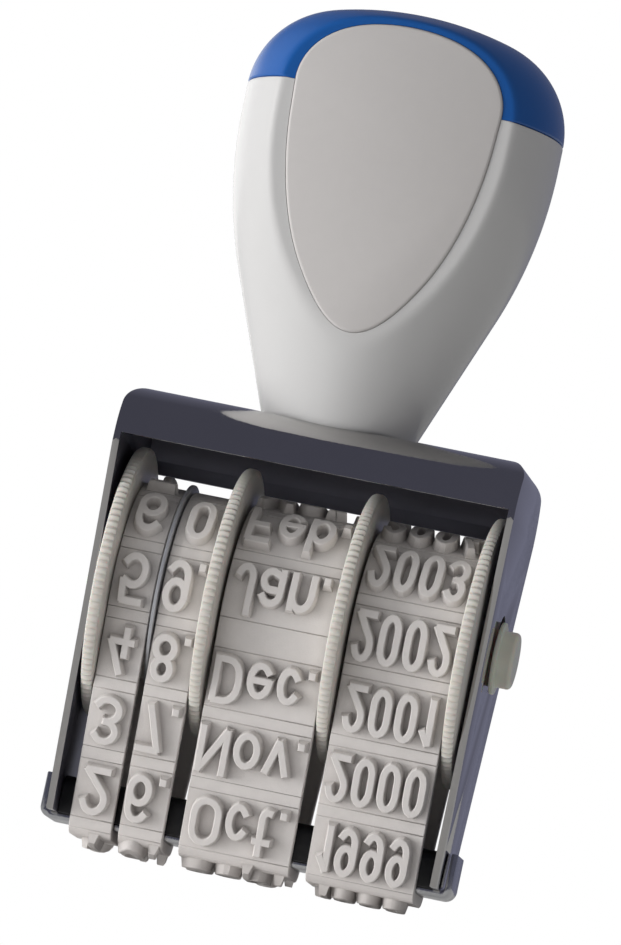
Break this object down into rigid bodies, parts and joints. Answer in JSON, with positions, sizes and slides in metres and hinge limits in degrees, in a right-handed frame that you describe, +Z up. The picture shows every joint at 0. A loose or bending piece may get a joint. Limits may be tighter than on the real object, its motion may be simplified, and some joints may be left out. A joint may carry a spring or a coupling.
{
  "type": "hand date stamp",
  "caption": "Hand date stamp with a grey handle, blue cap, chromed frame, toothed thumb wheels and rubber type bands for day, month and year.",
  "frame": {"origin": "middle of the printing face, on the surface the stamp presses on", "axes": "+Z up to the handle, +X along the axle to the right, -Y to the front"},
  "size_m": [0.0387, 0.0244, 0.0785],
  "materials": {
    "frame_chrome": "polished",
    "bright_steel": "satin",
    "black_plastic": "matte",
    "bush_plastic": "satin",
    "wheel_plastic": "satin",
    "band_rubber": "matte",
    "handle_plastic": "gloss",
    "cap_plastic": "gloss",
    "panel_plastic": "satin"
  },
  "bodies": {
    "stamp": {"frame": "frame_chrome", "nose_strip": "bright_steel", "nose_block": "black_plastic", "axle": "bright_steel", "bush_left": "bush_plastic", "bush_right": "bush_plastic", "divider_disc": "bright_steel", "band_tens": "band_rubber", "band_units": "band_rubber", "band_month": "band_rubber", "band_year": "band_rubber", "handle_body": "handle_plastic", "handle_cap": "cap_plastic", "front_panel": "panel_plastic", "handle_screw": "bright_steel", "screw_washer": "bright_steel"},
    "wheel_tens": {"wheel_tens": "wheel_plastic"},
    "wheel_units": {"wheel_units": "wheel_plastic"},
    "wheel_month": {"wheel_month": "wheel_plastic"},
    "wheel_year": {"wheel_year": "wheel_plastic"}
  },
  "joints": [
    {"name": "wheel_tens_turn", "type": "hinge", "parent": "stamp", "child": "wheel_tens", "pos_m": [0, 0, 0.0238], "axis": [1, 0, 0], "continuous": true},
    {"name": "wheel_units_turn", "type": "hinge", "parent": "stamp", "child": "wheel_units", "pos_m": [0, 0, 0.0238], "axis": [1, 0, 0], "continuous": true},
    {"name": "wheel_month_turn", "type": "hinge", "parent": "stamp", "child": "wheel_month", "pos_m": [0, 0, 0.0238], "axis": [1, 0, 0], "continuous": true},
    {"name": "wheel_year_turn", "type": "hinge", "parent": "stamp", "child": "wheel_year", "pos_m": [0, 0, 0.0238], "axis": [1, 0, 0], "continuous": true}
  ]
}
